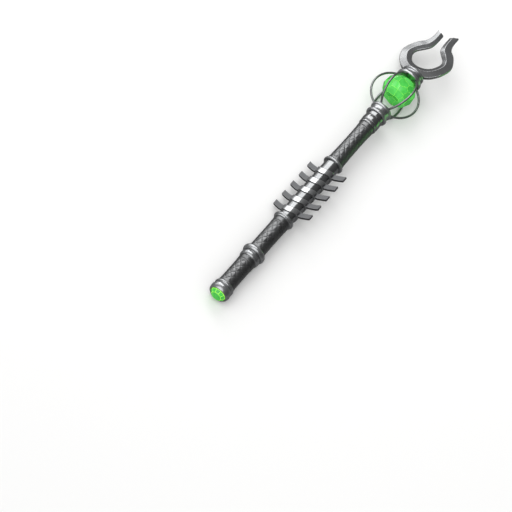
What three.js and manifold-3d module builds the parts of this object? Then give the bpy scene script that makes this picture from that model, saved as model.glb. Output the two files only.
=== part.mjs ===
// A fantasy staff of polished steel with green stones, lying at rest.
// Every piece is built on the staff's own axis (local +Z, from the foot to the head, with the
// prongs of the fork to either side along local X). The whole staff is then laid on the ground
// with its head towards +X, resting on its pommel cap and on two wires of its cage.
// Millimetres, +Z up, origin on the ground under the middle of the staff.

import * as THREE from 'three';
import { mergeVertices } from 'three/addons/utils/BufferGeometryUtils.js';
import Module from 'manifold-3d';

const wasm = await Module();
wasm.setup();

// Stations along the axis, from the flat of the pommel stone towards the head
const CAP_FOOT = 7;
const GRIP_FOOT = 37;
const DOUBLE_COLLAR_FOOT = 126;
const MIDDLE_TUBE_FOOT = 160;
const LOWER_RING_FOOT = 263;
const SLEEVE_FOOT = 275;
const UPPER_RING_FOOT = 466;
const UPPER_TUBE_FOOT = 474.5;
const FERRULE_FOOT = 606;
const LOWER_COLLAR_FOOT = 641;
const CAGE_FOOT = 670;
const CAGE_HEAD = 774;
const FORK_FOOT = 800;

// Gap left where one piece meets the next
const SEAM = 0.3;

// Roundness of the turned pieces: sides of the circle, and steps of each curve in a profile
const TURNED_SIDES = 24;
const CURVE_STEPS = 4;

// How far the pulls of a rounded ring stand out, against the height of its crown
const BEAD_PULL = 4 / 3;

// Pommel
const CAP_RADIUS = 26;
const CAP_LENGTH = GRIP_FOOT - CAP_FOOT;
const CAP_RIM_RADIUS = 23;
const CAP_DOME_LENGTH = 19;
const CAP_DOME_PULLS = [0.2, 0.8];
const CAP_SHOULDER_RADIUS = 24.2;
const CAP_GROOVE_RADIUS = 23.2;
const CAP_GROOVE_WIDTH = 2.5;
const CAP_GROOVE_SLOPE = 1;
const CAP_BEAD_MARGIN = 1.2;
const CAP_BEAD_RADIUS = 25.3;
const SEAT_RADIUS = 20.6;
const SEAT_DEPTH = 4.4;
const POMMEL_GEM_SIDES = 10;
const POMMEL_GEM_RADIUS = 20.2;
const POMMEL_TABLE_RADIUS = 13.5;
const POMMEL_BACK_RADIUS = 15;
const POMMEL_GIRDLE_WIDTH = 1.2;
const POMMEL_GEM_DEPTH = 11;

// Engraved tubes: a lattice of lozenges, cut as low four-sided points
const LATTICE_COLUMNS = 16;
const LATTICE_ROW_HEIGHT = 9.6;
const LATTICE_DEPTH = 0.9;
const TUBE_LAND = 7;
const TUBE_GROOVE_FROM_HEAD = 11.2;
const TUBE_GROOVE_DEPTH = 0.9;
const TUBE_GROOVE_HALF_WIDTH = 1.1;
const GRIP_TUBE = { foot: GRIP_FOOT, head: DOUBLE_COLLAR_FOOT, end: 22.2, waist: 21.5, waistAt: 0.5 };
const MIDDLE_TUBE = { foot: MIDDLE_TUBE_FOOT, head: LOWER_RING_FOOT, end: 21.5, waist: 21, waistAt: 0.5 };
const UPPER_TUBE = { foot: UPPER_TUBE_FOOT, head: FERRULE_FOOT, end: 21.4, waist: 19.7, waistAt: 0.6 };

// Ribbed sleeve
const SLEEVE_RADIUS = 20;
const RIB_COUNT = 5;
const FIRST_RIB = 301.5;
const RIB_PITCH = 34;
const RIB_BAND_RADIUS = 22.8;
const RIB_BAND_HEIGHT = 14.4;
const RIB_BAND_SIDES = 20;
const RIB_HALF_SPAN = 51.5;
const RIB_WING_HEIGHT = 14;
const RIB_WING_THICKNESS = 6.4;
const RIB_WING_STEPS = 5;
const RIB_WING_ROOT = 21.4;
const RIB_TIP_RISE = 7.5;
const RIB_BAND_DIP = 10;
const RIB_SWEEP_POWER = 1.6;

// Turned fittings, each with the radius of its two end faces and the profile between them.
// A bead is [root radius, crown radius, foot, head], a line goes to [radius, height], and a waist
// is a hollow curve [radius of its pull, height of its pull, radius, height].
const DOUBLE_COLLAR = {
  foot: DOUBLE_COLLAR_FOOT,
  head: MIDDLE_TUBE_FOOT,
  ends: [22.2, 22],
  profile: [{ bead: [22.6, 25.2, 1, 14.5] }, { bead: [23.2, 29, 17.2, 32.4] }],
};
const LOWER_RING = {
  foot: LOWER_RING_FOOT,
  head: SLEEVE_FOOT,
  ends: [22.2, 22],
  profile: [{ line: [23.8, 1.4] }, { bead: [23.8, 26.2, 4.2, 10.6] }],
};
const RIB_SLEEVE = {
  foot: SLEEVE_FOOT,
  head: UPPER_RING_FOOT,
  ends: [SLEEVE_RADIUS, SLEEVE_RADIUS],
  profile: [],
};
const UPPER_RING = {
  foot: UPPER_RING_FOOT,
  head: UPPER_TUBE_FOOT,
  ends: [21.8, 21.8],
  profile: [{ bead: [22.6, 25.7, 0.8, 7.4] }],
};
const NECK_FERRULE = {
  foot: FERRULE_FOOT,
  head: LOWER_COLLAR_FOOT,
  ends: [21.4, 22.8],
  profile: [
    { bead: [21.6, 22.7, 0.8, 6.6] },
    { line: [21.2, 7.8] },
    { bead: [22.2, 23, 9, 23.6] },
    { line: [21.4, 24.8] },
    { line: [22.4, 26] },
  ],
};
const LOWER_CAGE_COLLAR = {
  foot: LOWER_COLLAR_FOOT,
  head: CAGE_FOOT,
  ends: [24, 26],
  profile: [
    { bead: [24.8, 27.4, 0.8, 9] },
    { waist: [24, 14.5, 25, 20] },
    { bead: [25, 27.6, 20.4, 28] },
  ],
};
const UPPER_CAGE_COLLAR = {
  foot: CAGE_HEAD,
  head: FORK_FOOT,
  ends: [29.6, 25.6],
  profile: [
    { bead: [30, 32.4, 0.6, 9.4] },
    { waist: [24, 14.5, 26, 19] },
    { bead: [26, 28.4, 19.4, 25.2] },
  ],
};

// Globe cage and its stone
const WIRE_COUNT = 6;
const WIRE_RADIUS = 2.8;
const WIRE_SIDES = 8;
const WIRE_STEPS = 10;
const CAGE_RADIUS = 60;
const CAGE_HALF_HEIGHT = 55.8;
const GEM_RADIUS = 40;
const GEM_CENTRE = 738.5;
const GEM_HALF_HEIGHT = 34.5;
const GEM_TABLE = CAGE_HEAD;
const GEM_CULET = 706;

// Rows of facets on the large stone, from its table to its culet, and how far single facets sit in
// and turn aside, in the order they are cut
const GEM_FACET_ROWS = [
  { tilt: 62, sides: 8 },
  { tilt: 34, sides: 11 },
  { tilt: 5, sides: 12 },
  { tilt: -24, sides: 11 },
  { tilt: -51, sides: 8 },
  { tilt: -75, sides: 5 },
];
const GEM_FACET_SINKS = [0.2, 1.3, 0, 1.6, 0.7, 0.1, 1.1];
const GEM_FACET_TURNS = [0, 4, -3, 2, -4];

// Fork: matching points of its outer and inner edges, from the middle of the bowl to a prong's tip
const FORK_OUTER = [
  [0, -1], [33, 1.5], [57.5, 22], [68, 46], [65.5, 65], [52, 88], [36.5, 102], [29.3, 118], [28.3, 143],
];
const FORK_INNER = [
  [0, 23.2], [15.5, 25.4], [29, 33.5], [39.2, 51], [36, 65], [22.5, 78.5], [12.6, 90.5], [9.2, 108],
  [9, 133.5],
];
const FORK_STEPS = 22;
const FORK_RIDGE_PLACE = 0.4;
const FORK_RIDGE_AT_BOWL = 6.6;
const FORK_RIDGE_AT_TIP = 4.6;
const FORK_EDGE = 2.6;
const FORK_FOOT_EDGE = 5.6;
const FORK_FOOT_REACH = 0.3;

// How the staff lies: turned about its axis until it rests on two neighbouring wires
const ROLL = Math.PI / WIRE_COUNT;
const FLAT_DEPTH = 0.6;
const CAP_WIDEST = CAP_FOOT + CAP_DOME_LENGTH / 2;
const CAGE_MIDDLE = (CAGE_FOOT + CAGE_HEAD) / 2;

// Finishes
const STEEL = { color: 0x8d9094, roughness: 0.24, metalness: 1 };
const BRIGHT_STEEL = { color: 0xb4b7ba, roughness: 0.16, metalness: 1 };
const DARK_STEEL = { color: 0x74777b, roughness: 0.32, metalness: 1 };
const GREEN_STONE = { color: 0x43d250, roughness: 0.08, metalness: 0 };

// The ground, as a plane in the staff's own axes: it touches the cap and the two lowest wires
const groundRise = new THREE.Vector3(Math.sin(ROLL), -Math.cos(ROLL), 0);
const wireReach = CAGE_RADIUS * Math.cos(ROLL) + WIRE_RADIUS;
const capContact = groundRise.clone().multiplyScalar(FLAT_DEPTH - CAP_RADIUS).setZ(CAP_WIDEST);
const cageContact = groundRise.clone().multiplyScalar(FLAT_DEPTH - wireReach).setZ(CAGE_MIDDLE);
const alongGround = cageContact.clone().sub(capContact).normalize();
const acrossGround = groundRise.clone().cross(alongGround).normalize();
const groundNormal = alongGround.clone().cross(acrossGround);
const groundHeight = groundNormal.dot(capContact);

const staff = new THREE.Group();

function addPiece(name, geometry, finish, station = 0) {
  geometry.computeVertexNormals();
  const mesh = new THREE.Mesh(geometry, new THREE.MeshStandardMaterial({ ...finish, flatShading: true }));
  mesh.name = name;
  mesh.position.z = station;
  staff.add(mesh);
}

// Solid body of a closed geometry, with its shared vertices merged and empty triangles dropped
function solidOf(geometry) {
  const bare = geometry.clone();
  bare.deleteAttribute('normal');
  bare.deleteAttribute('uv');
  const merged = mergeVertices(bare, 1e-4);
  const triangles = [];
  for (let i = 0; i < merged.index.count; i += 3) {
    const [a, b, c] = [0, 1, 2].map((corner) => merged.index.getX(i + corner));
    if (a !== b && b !== c && c !== a) {
      triangles.push(a, b, c);
    }
  }
  return new wasm.Manifold(new wasm.Mesh({
    numProp: 3,
    vertProperties: new Float32Array(merged.attributes.position.array),
    triVerts: new Uint32Array(triangles),
  }));
}

function geometryOf(solid) {
  const mesh = solid.getMesh();
  const geometry = new THREE.BufferGeometry();
  geometry.setAttribute('position', new THREE.BufferAttribute(mesh.vertProperties, 3));
  geometry.setIndex(new THREE.BufferAttribute(mesh.triVerts, 1));
  return geometry;
}

// Cuts away what would sink into the ground, for a piece whose own zero is at a station
function cutAtGround(solid, station = 0) {
  return solid.trimByPlane(groundNormal.toArray(), groundHeight - groundNormal.z * station);
}

// A profile starts on the axis at the piece's foot face and is closed by closeProfile at its head face
function startProfile(radius, foot = SEAM) {
  const path = new THREE.Path();
  path.moveTo(0, foot);
  path.lineTo(radius, foot);
  return path;
}

function closeProfile(path, radius, length) {
  path.lineTo(radius, length);
  path.lineTo(0, length);
  return path;
}

// A rounded ring standing out from its root to its crown
function addBead(path, root, crown, foot, head) {
  const pull = root + (crown - root) * BEAD_PULL;
  path.lineTo(root, foot);
  path.bezierCurveTo(pull, foot, pull, head, root, head);
}

function turn(path, sides = TURNED_SIDES) {
  const geometry = new THREE.LatheGeometry(path.getPoints(CURVE_STEPS), sides);
  return geometry.rotateX(Math.PI / 2);
}

// Moves every vertex along the axis by a rule of its place across the staff
function bendAlongAxis(geometry, rule) {
  const place = geometry.attributes.position;
  for (let i = 0; i < place.count; i += 1) {
    place.setZ(i, place.getZ(i) + rule(place.getX(i), place.getY(i)));
  }
  return geometry;
}

function pommelGem() {
  const path = startProfile(POMMEL_TABLE_RADIUS, 0);
  path.lineTo(POMMEL_GEM_RADIUS, CAP_FOOT);
  path.lineTo(POMMEL_GEM_RADIUS, CAP_FOOT + POMMEL_GIRDLE_WIDTH);
  return turn(closeProfile(path, POMMEL_BACK_RADIUS, POMMEL_GEM_DEPTH), POMMEL_GEM_SIDES);
}

function pommelCap() {
  const path = startProfile(SEAT_RADIUS, SEAT_DEPTH);
  path.lineTo(SEAT_RADIUS, 0);
  path.lineTo(CAP_RIM_RADIUS, 0);
  const pull = CAP_RADIUS + (CAP_RADIUS - (CAP_RIM_RADIUS + CAP_SHOULDER_RADIUS) / 2) / 3;
  const [near, far] = CAP_DOME_PULLS.map((share) => share * CAP_DOME_LENGTH);
  path.bezierCurveTo(pull, near, pull, far, CAP_SHOULDER_RADIUS, CAP_DOME_LENGTH);
  path.lineTo(CAP_GROOVE_RADIUS, CAP_DOME_LENGTH + CAP_GROOVE_SLOPE);
  const beadFoot = CAP_DOME_LENGTH + CAP_GROOVE_WIDTH;
  addBead(path, CAP_GROOVE_RADIUS, CAP_BEAD_RADIUS, beadFoot, CAP_LENGTH - CAP_BEAD_MARGIN);
  const solid = solidOf(turn(closeProfile(path, GRIP_TUBE.end, CAP_LENGTH)));
  return geometryOf(cutAtGround(solid, CAP_FOOT));
}

// Rings of an engraved tube from end to end: plain lands, a turned groove near the head, and the lattice
function engravedRings({ foot, head, end, waist, waistAt }) {
  const length = head - foot;
  const middle = length * waistAt;
  const radiusAt = (z) => waist + (end - waist) * ((z - middle) / Math.max(middle, length - middle)) ** 2;
  const groove = length - TUBE_GROOVE_FROM_HEAD;
  const latticeHead = groove - TUBE_LAND / 2;
  const rows = Math.round((latticeHead - TUBE_LAND) / LATTICE_ROW_HEIGHT);
  const rings = [{ z: SEAM, radius: radiusAt(SEAM) }];
  for (let row = 0; row <= rows; row += 1) {
    const z = THREE.MathUtils.lerp(TUBE_LAND, latticeHead, row / rows);
    rings.push({ z, radius: radiusAt(z), row });
  }
  for (const side of [-1, 0, 1]) {
    const z = groove + side * TUBE_GROOVE_HALF_WIDTH;
    rings.push({ z, radius: radiusAt(z) - (side === 0 ? TUBE_GROOVE_DEPTH : 0) });
  }
  rings.push({ z: length, radius: radiusAt(length) });
  return rings;
}

// Every other vertex of a lattice row is sunk, so crossing grooves run between raised points
function engravedTube(tube) {
  const rings = engravedRings(tube);
  const isSunk = (ring, column) => ring.row !== undefined && (ring.row + column) % 2 === 0;
  const positions = [];
  for (const ring of rings) {
    for (let column = 0; column < LATTICE_COLUMNS; column += 1) {
      const angle = (2 * Math.PI * column) / LATTICE_COLUMNS;
      const radius = ring.radius - (isSunk(ring, column) ? LATTICE_DEPTH : 0);
      positions.push(radius * Math.cos(angle), radius * Math.sin(angle), ring.z);
    }
  }
  const footCentre = positions.length / 3;
  positions.push(0, 0, rings[0].z, 0, 0, rings[rings.length - 1].z);
  const indices = [];
  const at = (ring, column) => ring * LATTICE_COLUMNS + (column % LATTICE_COLUMNS);
  for (let column = 0; column < LATTICE_COLUMNS; column += 1) {
    indices.push(footCentre, at(0, column + 1), at(0, column));
    indices.push(footCentre + 1, at(rings.length - 1, column), at(rings.length - 1, column + 1));
    for (let ring = 0; ring + 1 < rings.length; ring += 1) {
      const near = [at(ring, column), at(ring, column + 1)];
      const far = [at(ring + 1, column + 1), at(ring + 1, column)];
      const corners = [...near, ...far];
      const turnBy = isSunk(rings[ring], column) ? 0 : 1;
      const [a, b, c, d] = corners.map((_, corner) => corners[(corner + turnBy) % 4]);
      indices.push(a, b, c, a, c, d);
    }
  }
  const geometry = new THREE.BufferGeometry();
  geometry.setAttribute('position', new THREE.Float32BufferAttribute(positions, 3));
  geometry.setIndex(indices);
  return geometry;
}

function turnedFitting({ foot, head, ends, profile }) {
  const path = startProfile(ends[0]);
  for (const { bead, line, waist } of profile) {
    if (bead) {
      addBead(path, ...bead);
    } else if (line) {
      path.lineTo(...line);
    } else {
      path.quadraticCurveTo(...waist);
    }
  }
  return turn(closeProfile(path, ends[1], head - foot));
}

// One rib: a band round the sleeve that dips at the front and back, with a swept wing on either side
function rib() {
  const sweep = (x, y) => {
    const outward = Math.max(0, (Math.abs(x) - RIB_BAND_RADIUS) / (RIB_HALF_SPAN - RIB_BAND_RADIUS));
    return RIB_TIP_RISE * outward ** RIB_SWEEP_POWER - RIB_BAND_DIP * (y / RIB_BAND_RADIUS) ** 2;
  };
  const path = new THREE.Path();
  const bore = SLEEVE_RADIUS + SEAM;
  path.moveTo(bore, -RIB_BAND_HEIGHT / 2);
  path.lineTo(RIB_BAND_RADIUS, -RIB_BAND_HEIGHT / 2);
  path.lineTo(RIB_BAND_RADIUS, RIB_BAND_HEIGHT / 2);
  path.lineTo(bore, RIB_BAND_HEIGHT / 2);
  path.lineTo(bore, -RIB_BAND_HEIGHT / 2);
  let solid = solidOf(bendAlongAxis(turn(path, RIB_BAND_SIDES), sweep));
  for (const side of [-1, 1]) {
    const length = RIB_HALF_SPAN - RIB_WING_ROOT;
    const wing = new THREE.BoxGeometry(length, RIB_WING_THICKNESS, RIB_WING_HEIGHT, RIB_WING_STEPS, 1, 1);
    wing.translate(side * (RIB_WING_ROOT + length / 2), 0, 0);
    solid = solid.add(solidOf(bendAlongAxis(wing, sweep)));
  }
  return geometryOf(solid);
}

// One cage wire, bent to the globe and cut flat on the two collars and where it rests on the ground.
// The prongs of the fork point halfway between two wires.
function cageWire(number) {
  const heading = (2 * Math.PI * (number + 0.5)) / WIRE_COUNT;
  const reach = (CAGE_HEAD - CAGE_FOOT) / 2 + WIRE_RADIUS;
  const lastAngle = Math.asin(Math.min(1, reach / CAGE_HALF_HEIGHT));
  const points = [];
  for (let step = 0; step <= WIRE_STEPS; step += 1) {
    const angle = THREE.MathUtils.lerp(-lastAngle, lastAngle, step / WIRE_STEPS);
    const radius = CAGE_RADIUS * Math.cos(angle);
    const z = CAGE_MIDDLE + CAGE_HALF_HEIGHT * Math.sin(angle);
    points.push(new THREE.Vector3(radius * Math.cos(heading), radius * Math.sin(heading), z));
  }
  const section = new THREE.Shape();
  section.absarc(0, 0, WIRE_RADIUS, 0, 2 * Math.PI);
  const geometry = new THREE.ExtrudeGeometry(section, {
    steps: WIRE_STEPS,
    curveSegments: WIRE_SIDES / 2,
    bevelEnabled: false,
    extrudePath: new THREE.CatmullRomCurve3(points),
  });
  const bent = solidOf(geometry);
  const fitted = bent.trimByPlane([0, 0, 1], CAGE_FOOT + SEAM).trimByPlane([0, 0, -1], -CAGE_HEAD);
  return geometryOf(cutAtGround(fitted));
}

// The large stone: rows of flat facets, each a plane near one rounded form
function cageGem() {
  const rough = new THREE.BoxGeometry(4 * GEM_RADIUS, 4 * GEM_RADIUS, GEM_TABLE - GEM_CULET);
  rough.translate(0, 0, (GEM_TABLE + GEM_CULET) / 2);
  let solid = solidOf(rough);
  let cut = 0;
  GEM_FACET_ROWS.forEach(({ tilt, sides }, row) => {
    const rise = THREE.MathUtils.degToRad(tilt);
    for (let side = 0; side < sides; side += 1) {
      const aside = THREE.MathUtils.degToRad(GEM_FACET_TURNS[cut % GEM_FACET_TURNS.length]);
      const heading = (2 * Math.PI * (side + (row % 2) / 2)) / sides + aside;
      const level = new THREE.Vector3(Math.cos(heading), Math.sin(heading), 0);
      const facing = level.multiplyScalar(Math.cos(rise)).setZ(Math.sin(rise));
      const touch = Math.hypot(GEM_RADIUS * Math.cos(rise), GEM_HALF_HEIGHT * Math.sin(rise));
      const sink = GEM_FACET_SINKS[cut % GEM_FACET_SINKS.length];
      solid = solid.trimByPlane(facing.clone().negate().toArray(), sink - touch - facing.z * GEM_CENTRE);
      cut += 1;
    }
  });
  return geometryOf(solid);
}

// The fork: a ridged bar between its outer and inner edges, from one tip through the bowl to the other
function forkHead() {
  const mirror = (points) => points.slice(1).reverse().map(([x, z]) => [-x, z]).concat(points);
  const edge = (half) => new THREE.SplineCurve(mirror(half).map(([x, z]) => new THREE.Vector2(x, z)));
  const outer = edge(FORK_OUTER);
  const inner = edge(FORK_INNER);
  const sections = [];
  for (let step = 0; step <= 2 * FORK_STEPS; step += 1) {
    const along = step / (2 * FORK_STEPS);
    const towardsTip = Math.abs(2 * along - 1);
    const nearFoot = Math.max(0, 1 - towardsTip / FORK_FOOT_REACH);
    const outside = outer.getPoint(along);
    const inside = inner.getPoint(along);
    const crest = inside.clone().lerp(outside, FORK_RIDGE_PLACE);
    const ridge = THREE.MathUtils.lerp(FORK_RIDGE_AT_BOWL, FORK_RIDGE_AT_TIP, towardsTip);
    const outerEdge = THREE.MathUtils.lerp(FORK_EDGE, FORK_FOOT_EDGE, nearFoot);
    const half = [[inside, FORK_EDGE], [crest, ridge], [outside, outerEdge]];
    const front = half.map(([point, depth]) => [point.x, -depth, point.y]);
    const back = half.map(([point, depth]) => [point.x, depth, point.y]).reverse();
    sections.push([...front, ...back]);
  }
  return geometryOf(solidOf(loft(sections)).trimByPlane([0, 0, 1], SEAM));
}

// Skin over a row of like sections, closed by a flat end at either side
function loft(sections) {
  const count = sections[0].length;
  const indices = [];
  for (let corner = 1; corner + 1 < count; corner += 1) {
    const last = (sections.length - 1) * count;
    indices.push(0, corner + 1, corner, last, last + corner, last + corner + 1);
  }
  for (let row = 0; row + 1 < sections.length; row += 1) {
    for (let corner = 0; corner < count; corner += 1) {
      const a = row * count + corner;
      const b = row * count + ((corner + 1) % count);
      indices.push(a, b, a + count, b, b + count, a + count);
    }
  }
  const geometry = new THREE.BufferGeometry();
  geometry.setAttribute('position', new THREE.Float32BufferAttribute(sections.flat(2), 3));
  geometry.setIndex(indices);
  return geometry;
}

addPiece('pommel_gem', pommelGem(), GREEN_STONE);
addPiece('pommel_cap', pommelCap(), BRIGHT_STEEL, CAP_FOOT);
addPiece('grip_tube', engravedTube(GRIP_TUBE), DARK_STEEL, GRIP_FOOT);
addPiece('double_collar', turnedFitting(DOUBLE_COLLAR), STEEL, DOUBLE_COLLAR.foot);
addPiece('middle_tube', engravedTube(MIDDLE_TUBE), DARK_STEEL, MIDDLE_TUBE_FOOT);
addPiece('lower_ring', turnedFitting(LOWER_RING), STEEL, LOWER_RING.foot);
addPiece('rib_sleeve', turnedFitting(RIB_SLEEVE), BRIGHT_STEEL, RIB_SLEEVE.foot);
for (let number = 0; number < RIB_COUNT; number += 1) {
  addPiece(`rib_${number + 1}`, rib(), STEEL, FIRST_RIB + number * RIB_PITCH);
}
addPiece('upper_ring', turnedFitting(UPPER_RING), STEEL, UPPER_RING.foot);
addPiece('upper_tube', engravedTube(UPPER_TUBE), DARK_STEEL, UPPER_TUBE_FOOT);
addPiece('neck_ferrule', turnedFitting(NECK_FERRULE), BRIGHT_STEEL, NECK_FERRULE.foot);
addPiece('lower_cage_collar', turnedFitting(LOWER_CAGE_COLLAR), STEEL, LOWER_CAGE_COLLAR.foot);
for (let number = 0; number < WIRE_COUNT; number += 1) {
  addPiece(`cage_wire_${number + 1}`, cageWire(number), STEEL);
}
addPiece('cage_gem', cageGem(), GREEN_STONE);
addPiece('upper_cage_collar', turnedFitting(UPPER_CAGE_COLLAR), STEEL, UPPER_CAGE_COLLAR.foot);
addPiece('fork_head', forkHead(), BRIGHT_STEEL, FORK_FOOT);

// Lay the staff on the ground and bring the middle of its box over the origin
const toStaff = new THREE.Matrix4().makeBasis(alongGround, acrossGround, groundNormal);
staff.quaternion.setFromRotationMatrix(toStaff.transpose());
staff.position.z = -groundHeight;
const laid = new THREE.Group();
laid.add(staff);
const middle = new THREE.Box3().setFromObject(laid, true).getCenter(new THREE.Vector3());
laid.position.set(-middle.x, -middle.y, 0);

export default laid;
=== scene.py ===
"""A fantasy staff of polished steel with green stones, lying on a pale studio floor.

Every piece is drawn on the staff's own axes in millimetres (x across the fork, y through it, z from the
foot to the head) and is then laid into the row frame in metres, over the solid that it stands for.
"""

import logging
import math
from dataclasses import dataclass
from enum import Enum
from typing import Callable, Sequence

import bmesh
import bpy
import numpy as np
from bpy.types import ID, Material, Mesh, Node, NodeSocket, NodeTree, Object, World
from mathutils import Matrix, Vector


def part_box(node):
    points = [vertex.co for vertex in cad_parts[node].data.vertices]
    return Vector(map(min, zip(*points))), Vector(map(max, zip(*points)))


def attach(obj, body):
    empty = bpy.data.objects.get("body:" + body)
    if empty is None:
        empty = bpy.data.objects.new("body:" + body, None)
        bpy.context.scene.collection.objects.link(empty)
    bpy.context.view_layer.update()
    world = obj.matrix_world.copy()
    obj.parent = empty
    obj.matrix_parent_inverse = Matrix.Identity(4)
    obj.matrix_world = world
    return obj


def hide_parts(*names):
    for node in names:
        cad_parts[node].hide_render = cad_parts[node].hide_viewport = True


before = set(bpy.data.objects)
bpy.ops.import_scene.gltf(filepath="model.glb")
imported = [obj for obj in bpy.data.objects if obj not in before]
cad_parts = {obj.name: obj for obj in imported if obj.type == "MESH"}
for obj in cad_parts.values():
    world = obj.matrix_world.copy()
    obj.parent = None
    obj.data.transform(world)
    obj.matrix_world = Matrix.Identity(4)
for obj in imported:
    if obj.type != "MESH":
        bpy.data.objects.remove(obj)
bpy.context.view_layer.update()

LOG = logging.getLogger("staff")
BODY = "root"
MM = 0.001
# Gap that a piece keeps from the one below it, in millimetres
SEAM = 0.3
# Sides of a finely turned round
FINE_SIDES = 120
# Mesh attributes that the finishes read
EDGE_MASK = "edge"
HOLLOW_MASK = "hollow"
FACET_TONE = "facet"
# Name of the fork's finished piece, which two of the lights are kept off
FORK_PIECE = "fork_head_forged"
UP = Vector((0, 0, 1))

Point = tuple[float, float]
Point3 = tuple[float, float, float]
Tone = tuple[float, float, float, float]


class Slot(Enum):
    """Material slots of the record."""

    POLISHED = "polished_steel"
    ENGRAVED = "engraved_steel"
    STONE = "green_stone"


class Station(float, Enum):
    """Places along the axis, in millimetres from the flat of the pommel stone."""

    CAP = 7
    GRIP = 37
    DOUBLE_COLLAR = 126
    MIDDLE_TUBE = 160
    LOWER_RING = 263
    SLEEVE = 275
    UPPER_RING = 466
    UPPER_TUBE = 474.5
    FERRULE = 606
    LOWER_COLLAR = 641
    CAGE = 670
    UPPER_COLLAR = 774
    FORK = 800


def placed(origin: Vector, x: Vector, y: Vector, z: Vector) -> Matrix:
    """Puts a thing at a point, with its own axes turned to three directions."""
    return Matrix.Translation(origin) @ Matrix((x, y, z)).transposed().to_4x4()


def round_angles(count: int) -> np.ndarray:
    """Even angles round the axis."""
    return np.linspace(0, 2 * math.pi, count, endpoint=False)


def off_axis(radius: float, angle: float, height: float) -> Point3:
    """Point at a distance from the axis, an angle round it and a height along it."""
    return (radius * math.cos(angle), radius * math.sin(angle), height)


def eased(start: Vector, corner: Vector, end: Vector, shares: Sequence[float]) -> list[Vector]:
    """Points of the curve that eases a corner, at shares of the way from its start to its end."""
    return [start * (1 - t) ** 2 + corner * 2 * t * (1 - t) + end * t * t for t in shares]


def add_object(name: str, data: ID) -> Object:
    """Puts a new object into the scene.

    Args:
        name: name of the object.
        data: its mesh, light or camera.

    Returns:
        The object.
    """
    obj = bpy.data.objects.new(name, data)
    bpy.context.scene.collection.objects.link(obj)
    return obj


@dataclass(frozen=True)
class StaffAxes:
    """The staff's own axes, worked out from where the turned solids lie.

    Attributes:
        roll: turn of the fork about the axis, out of the level.
    """

    roll: float = math.pi / 6

    def _middle(self, node: str) -> Vector:
        """Middle of a solid's box."""
        low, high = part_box(node)
        return (low + high) / 2

    @property
    def along(self) -> Vector:
        """Direction from the foot to the head."""
        return (self._middle("neck_ferrule") - self._middle("rib_sleeve")).normalized()

    @property
    def rise(self) -> Vector:
        """Direction square to the axis that points away from the floor."""
        return (UP - UP.dot(self.along) * self.along).normalized()

    @property
    def side(self) -> Vector:
        """Level direction to the right of the staff, seen from above with its head away."""
        return self.along.cross(self.rise)

    def point(self, station: float) -> Vector:
        """Point of the axis at a station, in metres in the row frame."""
        middle = (Station.SLEEVE + SEAM + Station.UPPER_RING) / 2
        return self._middle("rib_sleeve") + self.along * (station - middle) * MM

    def matrix(self) -> Matrix:
        """Takes millimetres on the staff's own axes to metres in the row frame.

        Returns:
            The matrix.
        """
        across = math.cos(self.roll) * self.side + math.sin(self.roll) * self.rise
        depth = math.sin(self.roll) * self.side - math.cos(self.roll) * self.rise
        return placed(self.point(0), across, depth, self.along) @ Matrix.Scale(MM, 4)


AXES = StaffAxes()
TO_ROW = AXES.matrix()


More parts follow.
